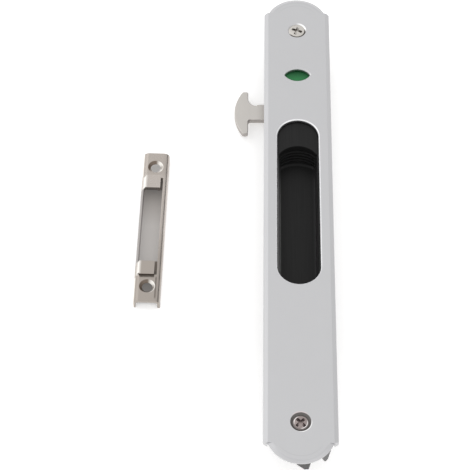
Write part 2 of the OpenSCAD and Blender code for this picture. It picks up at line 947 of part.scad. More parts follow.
module hook_bush() {
    color([0.72, 0.58, 0.3])
    translate([0, hook_y, hook_bot])
        difference() {
            cylinder(r = bush_r, h = hook_t);
            translate([0, 0, -cut])
                cylinder(r = pivot_r + run_fit, h = hook_t + 2 * cut);
        }
}

/* Keeper */

// Half-round-cornered channel section, its open side down
module channel_outline(half, top, r) {
    translate([-half, 0])
        square([2 * half, top - r]);
    translate([r - half, top - r - run_fit])
        square([2 * (half - r), r + run_fit]);
    for (side = [-1, 1])
        translate([side * (half - r), top - r])
            circle(r);
}

// The raised lug at one end of the window, with a sloping left flank, a
// slit along its right side and hollow below
module keeper_lug_outline() {
    lug_top = keeper_h + keeper_lug_rise;
    left = -keeper_w / 2;
    right = keeper_window_right - lug_slit_w;
    polygon([
        [left, 0], [left, keeper_h - keeper_edge_r], [left + lug_slope_w, lug_top],
        [right, lug_top], [right, keeper_h - keeper_t], [right - keeper_t, keeper_h - keeper_t],
        [right - keeper_t, lug_top - keeper_t], [left + lug_slope_w + keeper_t / 2, lug_top - keeper_t],
        [left + keeper_t, keeper_h - keeper_edge_r], [left + keeper_t, 0]
    ]);
}

module keeper_body() {
    half_window = keeper_window / 2;
    lug_end = half_window + keeper_lug_len;
    difference() {
        union() {
            along_y(-keeper_len / 2, keeper_len / 2)
                difference() {
                    channel_outline(keeper_w / 2, keeper_h, keeper_edge_r);
                    translate([0, -cut])
                        channel_outline(keeper_inner_half, keeper_h - keeper_t + cut, keeper_edge_r - keeper_t);
                }
            for (side = [-1, 1])
                translate([0, side * (half_window + lug_end) / 2, 0]) {
                    along_y(-keeper_lug_len / 2, keeper_lug_len / 2)
                        keeper_lug_outline();
                    along_y(side * keeper_lug_len / 2 - keeper_t / 2, side * keeper_lug_len / 2 + keeper_t / 2)
                        translate([lug_slope_w - keeper_w / 2, keeper_h - keeper_t])
                            square([keeper_w / 2 + keeper_window_right - lug_slit_w - lug_slope_w,
                                keeper_lug_rise + keeper_t]);
                }
        }
        translate([-keeper_inner_half, -half_window, -cut])
            cube([keeper_inner_half + keeper_window_right, keeper_window,
                keeper_h + keeper_lug_rise + 2 * cut]);
        for (side = [-1, 1]) {
            translate([-keeper_inner_half + keeper_t, side > 0 ? half_window - cut : -lug_end + keeper_t / 2,
                    keeper_h - keeper_t - cut])
                cube([keeper_inner_half + keeper_window_right - 2 * keeper_t - lug_slit_w,
                    keeper_lug_len + cut - keeper_t / 2, keeper_lug_rise + cut]);
            translate([keeper_window_right - lug_slit_w, side > 0 ? half_window - cut : -lug_end,
                    keeper_h - keeper_edge_r])
                cube([lug_slit_w, keeper_lug_len + cut, keeper_h]);
            translate([0, side * keeper_hole_spacing / 2, 0]) {
                translate([0, 0, -cut])
                    cylinder(r = keeper_hole_r, h = keeper_h + 2 * cut);
                translate([0, 0, keeper_h - (keeper_sink_r - keeper_hole_r)])
                    cylinder(r1 = keeper_hole_r, r2 = keeper_sink_r + run_fit,
                        h = keeper_sink_r - keeper_hole_r + run_fit);
            }
        }
    }
}

module keeper() {
    color([0.73, 0.7, 0.67])
    translate([-keeper_x, keeper_y, keeper_back])
        rotate([0, 0, -keeper_lean])
            keeper_body();
}

face_plate();
face_screw_top();
face_screw_bottom();
lock_case();
case_rivets();
guide_rail_left();
guide_rail_right();
pivot_pin();
pivot_washer();
pivot_clip();
end_block();
spring_rod();
rubber_bumper();
slide_handle();
indicator_green();
indicator_red();
drive_bar();
bar_screws();
drive_pin();
return_spring();
hook();
hook_bush();
keeper();
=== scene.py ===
"""Looks of the sliding patio door lock and its loose keeper.

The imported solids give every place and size. Each shown piece is either a
solid with rounded edges and a worked material, or a finer piece that stands
for its solid. All lengths are in metres, in the frame of the solids.
"""

import json
import math

import bmesh
import bpy
from mathutils import Matrix, Vector


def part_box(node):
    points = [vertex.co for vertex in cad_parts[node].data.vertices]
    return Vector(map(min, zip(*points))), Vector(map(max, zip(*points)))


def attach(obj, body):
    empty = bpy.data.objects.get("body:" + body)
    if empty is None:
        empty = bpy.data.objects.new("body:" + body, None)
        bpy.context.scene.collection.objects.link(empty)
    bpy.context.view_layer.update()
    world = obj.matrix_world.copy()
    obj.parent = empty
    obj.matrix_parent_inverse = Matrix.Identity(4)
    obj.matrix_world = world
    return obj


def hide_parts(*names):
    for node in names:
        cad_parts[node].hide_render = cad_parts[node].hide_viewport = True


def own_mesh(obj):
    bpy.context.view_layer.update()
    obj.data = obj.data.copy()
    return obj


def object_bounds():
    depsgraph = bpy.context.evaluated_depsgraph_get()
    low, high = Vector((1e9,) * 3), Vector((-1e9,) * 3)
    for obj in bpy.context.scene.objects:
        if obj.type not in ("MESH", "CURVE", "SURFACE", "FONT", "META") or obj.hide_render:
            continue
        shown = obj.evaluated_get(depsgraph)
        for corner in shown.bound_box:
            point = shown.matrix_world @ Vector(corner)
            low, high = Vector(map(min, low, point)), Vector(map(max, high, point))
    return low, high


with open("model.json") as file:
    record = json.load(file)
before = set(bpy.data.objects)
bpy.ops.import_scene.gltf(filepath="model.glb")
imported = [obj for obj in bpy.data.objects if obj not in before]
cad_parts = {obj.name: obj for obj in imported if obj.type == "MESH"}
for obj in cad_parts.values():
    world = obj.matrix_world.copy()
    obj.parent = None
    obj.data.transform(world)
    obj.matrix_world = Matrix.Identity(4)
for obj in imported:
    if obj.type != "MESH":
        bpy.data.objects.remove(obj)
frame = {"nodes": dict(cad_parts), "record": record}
cad_low, cad_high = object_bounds()
nodes = frame["nodes"]
MM = 0.001
SLOT_OF = {part["node"]: part["material_slot"] for part in frame["record"]["subparts"]}
BODY_OF = {name: body for body, names in frame["record"]["behaviour"]["bodies"].items() for name in names}

# Camera: the photograph looks down on the face from below its lower end
CAMERA_TILT = math.radians(34)
CAMERA_YAW = 0.0123
CAMERA_PLACE = Vector((-20.70, -393.46, 568.93)) * MM
FOCAL_PIXELS = 1716.9
PHOTO_PIXELS = 470
SENSOR = 36

# Floor, lamps and studio walls
FLOOR_HALF = 4.0
FLOOR_GAP = 0.02 * MM
FLOOR_GLOW = 0.42
FLOOR_COLOUR = (0.92, 0.915, 0.91)
SHADE_COLOUR = (0.13, 0.085, 0.05)
LAMP_SIZE = 1.2
SKY = 0.92
# Brightness of the studio walls in reflections, from the far left to the far right
WALLS = [(0.0, 1.08), (0.5, 1.0), (0.8, 0.95), (0.93, 0.82), (1.0, 0.8)]

# Rounding of edges: points that are welded, joints that count as flat, edges that
# count as sharp, and how far a corner's normal may lean on a small or a broad face
WELD = 0.0005 * MM
FLAT = math.radians(0.5)
SHARP = math.radians(20)
LEAST_AREA = 0.5 * MM ** 2
BROAD_AREA = 40 * MM ** 2
SMALL_LEAN = math.radians(25)
BROAD_LEAN = math.radians(8)

# Where some pieces are rounded: how far up the handle, from where on the case, and
# what the keeper leaves out (its rounding is in millimetres)
SCOOP_END = 50 * MM
LUGS_START = 92 * MM
KEEPER_ROUNDING = 0.12
KEEPER_WALL = 2 * MM
KEEPER_WINDOW_HALF = 19 * MM

# Fixing screws: shank, thread, crowned head and the cross in it
THREAD_R = 2.0 * MM
THREAD_ROOT = 0.82 * THREAD_R
THREAD_PITCH = 0.7 * MM
THREAD_TOP = 0.3 * MM
NECK_R = 1.75 * MM
TIP_LEN = 0.9 * MM
TIP_STEP = 0.2 * MM
ROD_SIDES = 40
RINGS_PER_TURN = 10
CROWN = 0.45 * MM
CROWN_STEPS = 14
CROWN_MIDDLE = 0.02 * MM
HEAD_EDGE = 0.1 * MM
HEAD_SIDES = 96
CROSS_LENGTH = 5.0 * MM
CROSS_WIDTH = 1.2 * MM
CROSS_DEPTH = 1.35 * MM
CROSS_TAPER = 0.45

# Return spring
WIRE_R = 0.3 * MM
COIL_TURNS = 8
STEPS_PER_TURN = 44
WIRE_SIDES = 14

# Plate: the openings' cuts, the lines inside the rounded ends and the screw seats
CUT_HALF = 9.5 * MM
CUT_FOOT = 2.15 * MM
WINDOW_SPAN = (-38 * MM, 50 * MM)
LENS_SPAN = (64 * MM, 78 * MM)
DOME_CENTRE = 99.3 * MM
DOME_START = 106 * MM
DOME_LINES = [(9.5 * MM, 9.9 * MM), (11.2 * MM, 11.6 * MM)]
SEAT_R = 3.95 * MM
UPPER_GLINT = (3.5 * MM, 4.1 * MM)
LOWER_GLINT = (SEAT_R, 4.25 * MM)
LOWER_BLUSH = (SEAT_R, 4.4 * MM)

# Screw heads, by distance from their middle
HEAD_SHADE = (3.2 * MM, 9 * MM)
# Painted shade on the outer part of the lower head
HEAD_RIM_SHADE = (2.6 * MM, 9 * MM)
# Painted highlights on a ring inside the lower head's outer part
HEAD_GLINT_RING = (2.35 * MM, 2.65 * MM)

# Slide handle and tile, hook's neck
FLANK_ACROSS = (-9 * MM, -6.9 * MM)
FLANK_END = 20 * MM
WALL_ACROSS = (6.6 * MM, 9 * MM)
WALL_TOP = 0.5 * MM
WALL_END = 26 * MM
FOOT_CENTRE = 19 * MM
FOOT_RADII = (11.5 * MM, 12.6 * MM)
FOOT_START = 25 * MM
SCOOP_FLOOR = -7.05 * MM
TILE_MIDDLE = 71.75 * MM
NECK_MIDDLE = -17 * MM

# Keeper, in its own frame from its middle: the lean, then places across and along it
KEEPER_LEAN = math.radians(1.2)
HOLE_OFFSET = 29.45 * MM
SINK_RADII = (2.0 * MM, 3.2 * MM)
LUG_SPAN = (18 * MM, 24.3 * MM)
LUG_FLANK = (-4.7 * MM, -3.2 * MM)
TAB_START = 25 * MM
TAB_LEFT = -4.95 * MM
UPPER_LUG_FACE = (16.5 * MM, 19.5 * MM)
LOWER_LUG_FACE = (-25.5 * MM, -22.5 * MM)
CREASE_ACROSS = (3.1 * MM, 3.7 * MM)
CREASE_ALONG = (-35 * MM, -25 * MM)
RAIL_END = 18.3 * MM
RAIL_RIGHT = -3.1 * MM
LOWER_HALF = -7.5 * MM
UPPER_TAB = 25.25 * MM

# Shade on the floor inside the keeper, in the same frame
SHADE_ACROSS = (-4.9 * MM, 4.9 * MM)
SHADE_WINDOW = (-24 * MM, 24 * MM)
SHADE_UPPER_HOLE = (28 * MM, 35.5 * MM)
SHADE_LOWER_HOLE = (-34 * MM, -21 * MM)
SHADE_UPPER_SLIT = (20.8 * MM, 28 * MM)
SHADE_LOWER_SLIT = (-22 * MM, -14.2 * MM)
SLIT_LEFT = 1.4 * MM

# Surfaces: grain that runs along the piece, clouds, scratches (their width is a share
# of their spacing), worn edges, depth of shade in a cross and the soft rim of an arc
BRUSHED = (1, 0.12, 1)
DRAGGED = (1, 0.02, 1)
METAL_CLOUD = 9 * MM
PLASTIC_CLOUD = 6 * MM
SCRATCH_SPACING = 5 * MM
SCRATCH_WIDTH = 0.006
DRAG_SIZE = 0.5 * MM
WEAR_REACH = 0.3 * MM
CROSS_REACH = 1.2 * MM
ARC_SOFT = 0.06 * MM


# Node graph helpers

def new_material(name):
    material = bpy.data.materials.new(name)
    material.use_nodes = True
    tree = material.node_tree
    tree.nodes.clear()
    output = tree.nodes.new("ShaderNodeOutputMaterial")
    shader = tree.nodes.new("ShaderNodeBsdfPrincipled")
    tree.links.new(shader.outputs["BSDF"], output.inputs["Surface"])
    return material, tree, shader


def position(tree, stretch=(1, 1, 1)):
    """Places on the piece in its own frame, stretched along each axis."""
    place = tree.nodes.new("ShaderNodeTexCoord")
    mapping = tree.nodes.new("ShaderNodeMapping")
    mapping.inputs["Scale"].default_value = stretch
    tree.links.new(place.outputs["Object"], mapping.inputs["Vector"])
    return mapping.outputs["Vector"]


def noise(tree, vector, size, detail):
    """A noise whose grains are about size metres across."""
    node = tree.nodes.new("ShaderNodeTexNoise")
    node.inputs["Scale"].default_value = 1 / size
    node.inputs["Detail"].default_value = detail
    node.inputs["Roughness"].default_value = 0.55
    tree.links.new(vector, node.inputs["Vector"])
    return node.outputs["Fac"]


def scratches(tree, vector, size, width):
    """Sparse fine lines: the narrow edges between stretched cells."""
    node = tree.nodes.new("ShaderNodeTexVoronoi")
    node.feature = "DISTANCE_TO_EDGE"
    node.inputs["Scale"].default_value = 1 / size
    tree.links.new(vector, node.inputs["Vector"])
    return remap(tree, node.outputs["Distance"], 0, width, 1, 0)


def remap(tree, value, low, high, to_low, to_high):
    node = tree.nodes.new("ShaderNodeMapRange")
    node.inputs["From Min"].default_value = low
    node.inputs["From Max"].default_value = high
    node.inputs["To Min"].default_value = to_low
    node.inputs["To Max"].default_value = to_high
    tree.links.new(value, node.inputs["Value"])
    return node.outputs["Result"]


def combine(tree, operation, first, second):
    """Two values by one sum; either may be a plain number."""
    node = tree.nodes.new("ShaderNodeMath")
    node.operation = operation
    for socket, value in zip(node.inputs, (first, second)):
        if isinstance(value, (int, float)):
            socket.default_value = value
        else:
            tree.links.new(value, socket)
    return node.outputs["Value"]


def absolute(tree, value):
    return combine(tree, "ABSOLUTE", value, 0)


def both(tree, *shares):
    """The product of several shares."""
    result = shares[0]
    for share in shares[1:]:
        result = combine(tree, "MULTIPLY", result, share)
    return result


def either(tree, *shares):
    """The largest of several shares."""
    result = shares[0]
    for share in shares[1:]:
        result = combine(tree, "MAXIMUM", result, share)
    return result


def above(tree, value, level, soft):
    """0 below the level and 1 above it, with a soft step."""
    return remap(tree, value, level - soft, level + soft, 0, 1)


def below(tree, value, level, soft):
    """1 below the level and 0 above it, with a soft step."""
    return remap(tree, value, level - soft, level + soft, 1, 0)


def between(tree, value, span, soft):
    """1 inside the span and 0 outside, with soft shoulders."""
    low, high = span
    return both(tree, above(tree, value, low, soft), below(tree, value, high, soft))


def mix_colour(tree, factor, first, second):
    node = tree.nodes.new("ShaderNodeMix")
    node.data_type = "RGBA"
    tree.links.new(factor, node.inputs[0])
    for socket, value in ((node.inputs[6], first), (node.inputs[7], second)):
        if isinstance(value, tuple):
            socket.default_value = (*value, 1)
        else:
            tree.links.new(value, socket)
    return node.outputs[2]


def mix_value(tree, factor, first, second):
    node = tree.nodes.new("ShaderNodeMix")
    tree.links.new(factor, node.inputs[0])
    for socket, value in ((node.inputs[2], first), (node.inputs[3], second)):
        if isinstance(value, (int, float)):
            socket.default_value = value
        else:
            tree.links.new(value, socket)
    return node.outputs[0]


def axis_value(tree, vector, axis):
    node = tree.nodes.new("ShaderNodeSeparateXYZ")
    tree.links.new(vector, node.inputs["Vector"])
    return node.outputs[axis]


def place_of(tree, axis):
    """The place on the piece along one axis."""
    return axis_value(tree, position(tree), axis)


def normal_of(tree, axis):
    """The part of the surface's normal along one axis."""
    geometry = tree.nodes.new("ShaderNodeNewGeometry")
    return axis_value(tree, geometry.outputs["Normal"], axis)


def vector_step(tree, operation, vector, value=None):
    node = tree.nodes.new("ShaderNodeVectorMath")
    node.operation = operation
    tree.links.new(vector, node.inputs[0])
    if value is not None:
        node.inputs[1].default_value = value
    return node.outputs["Value"] if operation in ("LENGTH", "DOT_PRODUCT") else node.outputs["Vector"]


def offset_from(tree, vector, centre):
    """Places measured from centre in the plane of the face."""
    return vector_step(tree, "MULTIPLY", vector_step(tree, "SUBTRACT", vector, centre), (1, 1, 0))


def distance_from(tree, vector, centre):
    """Distance from the line along Z through centre."""
    return vector_step(tree, "LENGTH", offset_from(tree, vector, centre))


def side_of(tree, vector, centre, heading, start, soft):
    """1 on the side of centre that lies toward a heading in degrees, from start (a cosine) on."""
    turn = math.radians(heading)
    unit = vector_step(tree, "NORMALIZE", offset_from(tree, vector, centre))
    lean = vector_step(tree, "DOT_PRODUCT", unit, (math.cos(turn), math.sin(turn), 0))
    return above(tree, lean, start, soft)


def arc(tree, vector, centre, radii, heading, start, soft=0.15):
    """1 on an arc round centre between two radii, toward a heading."""
    ring = between(tree, distance_from(tree, vector, centre), radii, ARC_SOFT)
    return both(tree, ring, side_of(tree, vector, centre, heading, start, soft))


def edge_wear(tree):
    """1 along the edges, 0 on the flats."""
    rounded = tree.nodes.new("ShaderNodeBevel")
    rounded.samples = 4
    rounded.inputs["Radius"].default_value = WEAR_REACH
    geometry = tree.nodes.new("ShaderNodeNewGeometry")
    likeness = tree.nodes.new("ShaderNodeVectorMath")
    likeness.operation = "DOT_PRODUCT"
    tree.links.new(rounded.outputs["Normal"], likeness.inputs[0])
    tree.links.new(geometry.outputs["Normal"], likeness.inputs[1])
    return remap(tree, likeness.outputs["Value"], 0.995, 0.95, 0, 1)


def bump(tree, shader, height, depth):
    node = tree.nodes.new("ShaderNodeBump")
    node.inputs["Distance"].default_value = depth
    node.inputs["Strength"].default_value = 1
    tree.links.new(height, node.inputs["Height"])
    tree.links.new(node.outputs["Normal"], shader.inputs["Normal"])


def tinted(colour, factor):
    return tuple(min(1, channel * factor) for channel in colour)


# Masks of the plate

def cut_slope(tree):
    """The sloping cuts at the rims of the plate's openings."""
    slope = between(tree, normal_of(tree, "Z"), (0.3, 0.95), 0.02)
    return both(tree, slope, below(tree, absolute(tree, place_of(tree, "X")), CUT_HALF, 0.1 * MM),
                above(tree, place_of(tree, "Z"), CUT_FOOT, 0.05 * MM))


def window_cut(tree):
    return both(tree, cut_slope(tree), between(tree, place_of(tree, "Y"), WINDOW_SPAN, 1 * MM))


def lens_cut(tree):
    """The bare cut at the rim of the indicator's opening, left out on its far side, which keeps the plate's
    darker colour as painted shade.
    """
    return both(tree, cut_slope(tree), between(tree, place_of(tree, "Y"), LENS_SPAN, 1 * MM),
                above(tree, normal_of(tree, "Y"), -0.3, 0.1))


def dome_band(tree):
    """The faint lines that follow the rounded ends, inside their edge."""
    place = position(tree)
    shares = []
    for end in (1, -1):
        reach = distance_from(tree, place, (0, end * DOME_CENTRE, 0))
        lines = either(tree, *(between(tree, reach, line, 0.15 * MM) for line in DOME_LINES))
        beyond = above(tree, both(tree, axis_value(tree, place, "Y"), end), DOME_START, 2 * MM)
        shares.append(both(tree, lines, beyond, 0.5))
    return either(tree, *shares)


def screw_axis(node):
    low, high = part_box(node)
    return tuple((low + high) / 2)


def seat_shade(tree):
    """The dark depth of the lower seat and the shade beside the upper head."""
    place = position(tree)
    upper, lower = screw_axis("face_screw_top"), screw_axis("face_screw_bottom")
    deep = below(tree, distance_from(tree, place, lower), SEAT_R, 0.05 * MM)
    return either(tree, deep, arc(tree, place, upper, (1 * MM, SEAT_R), heading=-65, start=0.2))


def seat_glint(tree):
    """Bright crescents at the upper right and the lower right of the two seats."""
    place = position(tree)
    upper, lower = screw_axis("face_screw_top"), screw_axis("face_screw_bottom")
    return either(tree, arc(tree, place, upper, UPPER_GLINT, heading=42, start=0.75),
                  arc(tree, place, lower, LOWER_GLINT, heading=-45, start=0.65))


def seat_blush(tree):
    """A faint warm arc above the lower seat."""
    return arc(tree, position(tree), screw_axis("face_screw_bottom"), LOWER_BLUSH, heading=95, start=0.75)


# Masks of the screw heads

def recess(tree):
    """Painted shade: 1 deep in the cross, 0 on open faces."""
    node = tree.nodes.new("ShaderNodeAmbientOcclusion")
    node.inputs["Distance"].default_value = CROSS_REACH
    node.samples = 12
    return remap(tree, node.outputs["AO"], 0.3, 0.75, 1, 0)


def head_shade(tree):
    """The shaded edge of the upper screw's head."""
    return arc(tree, position(tree), (0, 0, 0), HEAD_SHADE, heading=-65, start=0.2)


def head_rim_shade(tree):
    """Painted shade on the outer part of the lower screw's head, deep in its seat."""
    return between(tree, distance_from(tree, position(tree), (0, 0, 0)), HEAD_RIM_SHADE, 0.1 * MM)


def head_ring_glints(tree):
    """Painted highlights on a ring inside the lower head's shaded outer part, at two opposite sides."""
    place = position(tree)
    return either(tree, arc(tree, place, (0, 0, 0), HEAD_GLINT_RING, heading=150, start=0.8),
                  arc(tree, place, (0, 0, 0), HEAD_GLINT_RING, heading=-35, start=0.65))


# Masks of the hook, the tile and the handle

def neck(tree):
    """Painted light on the hook's neck, from its head to the case, where the plate shades it."""
    return above(tree, place_of(tree, "X"), NECK_MIDDLE, 3 * MM)


def wall(tree):
    """1 on faces that stand upright."""
    return below(tree, absolute(tree, normal_of(tree, "Z")), 0.4, 0.1)


def tile_shade(tree):
    """The upper part of the green tile, shaded by the plate."""
    return above(tree, place_of(tree, "Y"), TILE_MIDDLE, 2.25 * MM)


def lit_scoop_flank(tree):
    """Painted light on the left side of the scoop, from its mouth to its floor."""
    return both(tree, between(tree, place_of(tree, "X"), FLANK_ACROSS, 0.1 * MM),
                below(tree, place_of(tree, "Y"), FLANK_END, 10 * MM))


def scoop_wall(tree):
    """The right wall of the scoop and the floor beside it."""
    return both(tree, between(tree, place_of(tree, "X"), WALL_ACROSS, 0.5 * MM),
                below(tree, place_of(tree, "Z"), WALL_TOP, 0.5 * MM),
                below(tree, place_of(tree, "Y"), WALL_END, 4 * MM))


def scoop_foot(tree):
    """The pale line across the scoop's floor, below its upper end wall."""
    reach = distance_from(tree, position(tree), (0, FOOT_CENTRE, 0))
    return both(tree, between(tree, reach, FOOT_RADII, 0.3 * MM),
                above(tree, place_of(tree, "Y"), FOOT_START, 1 * MM),
                below(tree, place_of(tree, "Z"), SCOOP_FLOOR, 0.15 * MM))


# Masks of the keeper

def keeper_place(tree):
    """Places in the keeper's own leaning frame, from its middle."""
    low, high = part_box("keeper")
    place = tree.nodes.new("ShaderNodeTexCoord")
    mapping = tree.nodes.new("ShaderNodeMapping")
    mapping.vector_type = "TEXTURE"
    mapping.inputs["Location"].default_value = ((low.x + high.x) / 2, (low.y + high.y) / 2, 0)
    mapping.inputs["Rotation"].default_value = (0, 0, -KEEPER_LEAN)
    tree.links.new(place.outputs["Object"], mapping.inputs["Vector"])
    return mapping.outputs["Vector"]


def keeper_axes(tree):
    """Places across and along the keeper."""
    place = keeper_place(tree)
    return axis_value(tree, place, "X"), axis_value(tree, place, "Y")


def sink_glint_and_shade(heading, start):
    """A mask of one side of the keeper's two countersinks, used for their painted shade and their painted
    highlight.
    """
    def mask(tree):
        place = keeper_place(tree)
        return either(tree, *(arc(tree, place, (0, side * HOLE_OFFSET, 0), SINK_RADII, heading, start, 0.3)
                              for side in (1, -1)))
    return mask


def keeper_glint(tree):
    """The left flanks of the lugs and the left edges of the end tabs."""
    across, along = keeper_axes(tree)
    along = absolute(tree, along)
    flank = both(tree, between(tree, along, LUG_SPAN, 0.2 * MM), between(tree, across, LUG_FLANK, 0.5 * MM))
    edge = both(tree, above(tree, along, TAB_START, 0.5 * MM), below(tree, across, TAB_LEFT, 0.15 * MM))
    return either(tree, flank, edge)


def keeper_shadow(tree):
    """The near ends of the lugs, the upper ones fainter, and the crease beside the lower tab."""
    across, along = keeper_axes(tree)
    facing = below(tree, normal_of(tree, "Y"), -0.45, 0.15)
    ends = either(tree, between(tree, along, UPPER_LUG_FACE, 0.3 * MM),
                  between(tree, along, LOWER_LUG_FACE, 0.3 * MM))
    strength = remap(tree, along, -1 * MM, 1 * MM, 0.9, 0.45)
    crease = both(tree, between(tree, across, CREASE_ACROSS, 0.15 * MM),
                  between(tree, along, CREASE_ALONG, 0.5 * MM), 0.6)
    return either(tree, both(tree, facing, ends, strength), crease)


def keeper_ends(tree):
    """Darker and a little rougher over the lower half and, less so, on the upper tab."""
    along = keeper_axes(tree)[1]
    return either(tree, below(tree, along, LOWER_HALF, 7.5 * MM),
                  both(tree, above(tree, along, UPPER_TAB, 0.75 * MM), 0.45))


def keeper_rail(tree):
    """The rail at the left of the keeper's window, darker and a little rougher."""
    across, along = keeper_axes(tree)
    return both(tree, below(tree, absolute(tree, along), RAIL_END, 0.3 * MM),
                below(tree, across, RAIL_RIGHT, 0.1 * MM))


def keeper_shade(tree):
    """The shade on the floor inside the keeper, deepest at its upper end and
    under the slits beside the lugs."""
    across, along = keeper_axes(tree)
    window = both(tree, between(tree, along, SHADE_WINDOW, 1 * MM),
                  remap(tree, along, 3 * MM, 20 * MM, 0.615, 0.78))
    lower_hole = both(tree, between(tree, along, SHADE_LOWER_HOLE, 1 * MM), 0.75)
    upper_hole = both(tree, between(tree, along, SHADE_UPPER_HOLE, 0.5 * MM), 0.46)
    upper_slit = between(tree, along, SHADE_UPPER_SLIT, 0.4 * MM)
    lower_slit = both(tree, between(tree, along, SHADE_LOWER_SLIT, 0.3 * MM),
                      above(tree, across, SLIT_LEFT, 0.2 * MM))
    slits = both(tree, either(tree, upper_slit, lower_slit), 0.9)
    return both(tree, between(tree, across, SHADE_ACROSS, 0.3 * MM),
                either(tree, window, upper_hole, lower_hole, slits))


# Materials

def metal(name, colour, rough, grain, depth, stretch=(1, 1, 1),
          mottle=0.05, scratch=0.0, worn=1.12, zones=()):
    """A bare or plated metal: fine grain, faint cloudiness, sparse scratches
    and edges rubbed brighter. Each zone is a mask with its own colour and
    roughness."""
    material, tree, shader = new_material(name)
    shader.inputs["Metallic"].default_value = 1
    cloud = noise(tree, position(tree), METAL_CLOUD, 4)
    fine = noise(tree, position(tree, stretch), grain, 4)
    base = mix_colour(tree, cloud, tinted(colour, 1 - mottle), tinted(colour, 1 + mottle))
    if worn > 1:
        base = mix_colour(tree, edge_wear(tree), base, tinted(colour, worn))
    roughness = remap(tree, fine, 0.3, 0.7, rough - 0.06, rough + 0.06)
    height = fine
    if scratch:
        lines = scratches(tree, position(tree, BRUSHED), SCRATCH_SPACING, SCRATCH_WIDTH)
        roughness = combine(tree, "ADD", roughness, both(tree, lines, 0.12 * scratch))
        height = combine(tree, "SUBTRACT", fine, both(tree, lines, scratch))
    for mask, zone_colour, zone_rough in zones:
        share = mask(tree)
        base = mix_colour(tree, share, base, zone_colour)
        roughness = mix_value(tree, share, roughness, zone_rough)
    tree.links.new(base, shader.inputs["Base Color"])
    tree.links.new(roughness, shader.inputs["Roughness"])
    bump(tree, shader, height, depth)
    return material


def plastic(name, colour, rough, grain, depth, gloss=0.5, streak=0.0, zones=()):
    """A moulded plastic: fine grain, slight tone changes, edges rubbed
    smoother and, with streak, fine drag lines along Y. Each zone is a mask
    with its own colour."""
    material, tree, shader = new_material(name)
    shader.inputs["Specular IOR Level"].default_value = gloss
    plain = position(tree)
    cloud = noise(tree, plain, PLASTIC_CLOUD, 3)
    fine = noise(tree, plain, grain, 3)
    base = mix_colour(tree, cloud, tinted(colour, 0.85), tinted(colour, 1.15))
    height = fine
    if streak:
        drag = noise(tree, position(tree, DRAGGED), DRAG_SIZE, 2)
        base = mix_colour(tree, remap(tree, drag, 0.35, 0.65, 0, streak), base, tinted(colour, 1.7))
        height = combine(tree, "ADD", fine, both(tree, drag, 2 * streak))
    for mask, zone_colour in zones:
        base = mix_colour(tree, mask(tree), base, zone_colour)
    tree.links.new(base, shader.inputs["Base Color"])
    smooth = remap(tree, edge_wear(tree), 0, 1, 0, -0.15)
    roughness = combine(tree, "ADD", remap(tree, fine, 0.3, 0.7, rough - 0.05, rough + 0.05), smooth)
    tree.links.new(roughness, shader.inputs["Roughness"])
    bump(tree, shader, height, depth)
    return material


METALS = {
    "anodised_aluminium": dict(
        colour=(0.572, 0.572, 0.582), rough=0.42, grain=0.12 * MM, depth=0.006 * MM, mottle=0.015, worn=1,
        zones=[(dome_band, (0.50, 0.50, 0.51), 0.42), (window_cut, (0.86, 0.86, 0.87), 0.2),
               # The lens cut's far side is left out as painted shade
               (lens_cut, (0.75, 0.75, 0.76), 0.3), (seat_shade, (0.15, 0.14, 0.135), 0.4),
               (seat_blush, (0.66, 0.60, 0.60), 0.4), (seat_glint, (0.95, 0.95, 0.95), 0.3)]),
    "bright_nickel": dict(
        colour=(0.60, 0.575, 0.54), rough=0.3, grain=0.3 * MM, depth=0.004 * MM, scratch=0.5,
        # Painted shade at the head's edge and deep in its cross
        zones=[(head_shade, (0.12, 0.11, 0.10), 0.4), (recess, (0.08, 0.07, 0.06), 0.5)]),
    "dull_nickel": dict(
        colour=(0.33, 0.28, 0.27), rough=0.3, grain=0.25 * MM, depth=0.01 * MM, mottle=0.2, scratch=0.8,
        worn=1.6,
        # Painted shade on the head's outer part, painted highlights on a ring inside it
        zones=[(head_rim_shade, (0.19, 0.17, 0.165), 0.35), (head_ring_glints, (0.8, 0.77, 0.75), 0.3),
               # Painted shade deep in the cross
               (recess, (0.09, 0.07, 0.07), 0.4)]),
    "zinc_steel": dict(
        colour=(0.10, 0.097, 0.097), rough=0.4, grain=0.4 * MM, depth=0.006 * MM, mottle=0.12, scratch=0.4,
        worn=1.3),
    "rivet_steel": dict(colour=(0.55, 0.55, 0.56), rough=0.3, grain=0.2 * MM, depth=0.006 * MM),
    "bronze": dict(colour=(0.50, 0.34, 0.13), rough=0.35, grain=0.2 * MM, depth=0.006 * MM),
    "spring_steel": dict(colour=(0.42, 0.43, 0.45), rough=0.3, grain=0.15 * MM, depth=0.003 * MM),
    "dark_spring_steel": dict(
        colour=(0.08, 0.08, 0.09), rough=0.4, grain=0.2 * MM, depth=0.005 * MM, worn=2.5),
    "cast_hook": dict(
        colour=(0.585, 0.56, 0.53), rough=0.4, grain=0.35 * MM, depth=0.012 * MM, worn=1.1,
        # Painted light on the neck
        zones=[(neck, (0.68, 0.65, 0.615), 0.4), (wall, (0.48, 0.45, 0.43), 0.6)]),
    "keeper_steel": dict(
        colour=(0.50, 0.455, 0.42), rough=0.26, grain=1.2 * MM, depth=0.002 * MM, stretch=BRUSHED,
        mottle=0.08, scratch=0.3, worn=1.3,
        zones=[(keeper_ends, (0.395, 0.355, 0.32), 0.28), (keeper_rail, (0.37, 0.35, 0.34), 0.35),
               (keeper_glint, (0.85, 0.82, 0.78), 0.3), (keeper_shadow, (0.09, 0.075, 0.065), 0.4),
               # Painted shade at the countersinks' upper left and a painted highlight at their right
               (sink_glint_and_shade(heading=150, start=0.2), (0.2, 0.16, 0.13), 0.4),
               (sink_glint_and_shade(heading=5, start=0.45), (0.95, 0.92, 0.87), 0.35)]),
}
